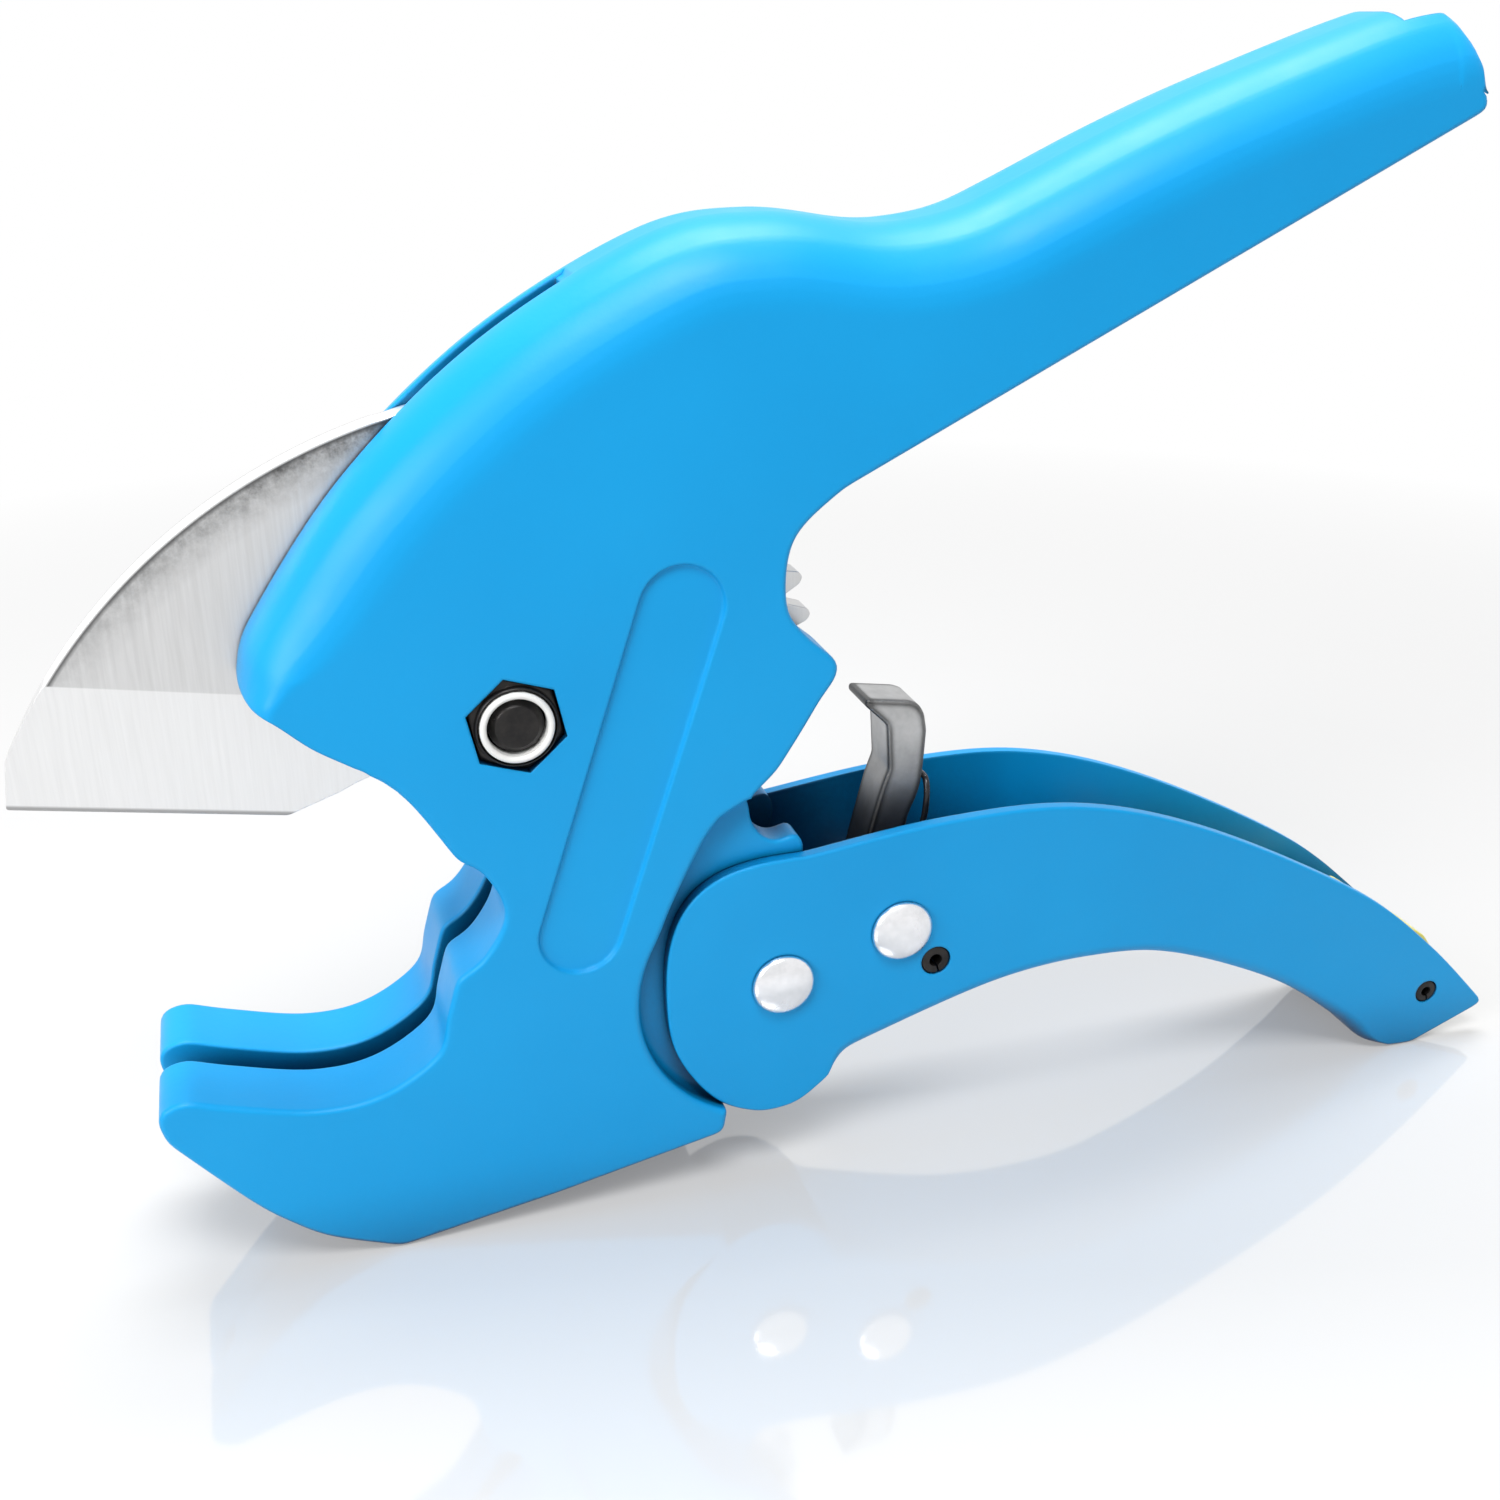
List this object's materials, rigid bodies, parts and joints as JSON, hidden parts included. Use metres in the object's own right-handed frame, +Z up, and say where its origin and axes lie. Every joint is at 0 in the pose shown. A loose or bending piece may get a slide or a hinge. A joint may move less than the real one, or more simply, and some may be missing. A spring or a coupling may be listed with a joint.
{
  "type": "pvc pipe cutter",
  "caption": "Ratcheting hand cutter for plastic pipe, with a swinging toothed blade, a slotted jaw, a sprung drive pawl and a squeeze handle with a latch.",
  "frame": {"origin": "on the ground under the middle of the tool's length, at its mid thickness", "axes": "+X from the blade towards the handles, +Y to the side away from the lock nut, +Z up with the tool standing open on its jaw and tail"},
  "size_m": [0.242, 0.0294, 0.1727],
  "materials": {
    "blue_paint": "satin enamel",
    "blade_steel": "brushed, ground bevel",
    "pawl_steel": "matt",
    "bright_zinc": "bright",
    "black_oxide": "satin",
    "spring_wire": "oiled",
    "bronze": "sintered",
    "white_nylon": "smooth",
    "yellow_zinc": "satin"
  },
  "bodies": {
    "body": {"body_casting": "blue_paint", "blade_pivot_bolt": "black_oxide", "blade_lock_nut": "black_oxide", "lock_nut_insert": "white_nylon", "blade_bush": "bronze", "blade_washer_near": "bronze", "blade_washer_far": "bronze", "handle_pivot_bush": "bronze", "handle_return_spring": "spring_wire"},
    "blade": {"cutting_blade": "blade_steel"},
    "handle": {"lower_handle": "blue_paint", "handle_pivot_rivet": "bright_zinc", "pawl_pivot_rivet": "bright_zinc", "pawl_spacer_near": "bright_zinc", "pawl_spacer_far": "bright_zinc", "pawl_stop_pin": "black_oxide", "latch_pin": "black_oxide"},
    "pawl": {"drive_pawl": "pawl_steel", "pawl_spring": "spring_wire"},
    "latch": {"safety_latch": "yellow_zinc"}
  },
  "joints": [
    {"name": "blade_pivot", "type": "hinge", "parent": "body", "child": "blade", "pos_m": [-0.0536, 0, 0.0834], "axis": [0, -1, 0], "range_deg": [0, 60]},
    {"name": "handle_pivot", "type": "hinge", "parent": "body", "child": "handle", "pos_m": [-0.0146, 0, 0.0348], "axis": [0, -1, 0], "range_deg": [0, 45]},
    {"name": "pawl_pivot", "type": "hinge", "parent": "handle", "child": "pawl", "pos_m": [0.0049, 0, 0.041], "axis": [0, -1, 0], "range_deg": [-50, 0]},
    {"name": "latch_pivot", "type": "hinge", "parent": "handle", "child": "latch", "pos_m": [0.108, 0, 0.0106], "axis": [0, 1, 0], "range_deg": [0, 105]}
  ],
  "couplings": [
    {"joint": "pawl_pivot", "follows": "handle_pivot", "ratio": -1.1}
  ]
}
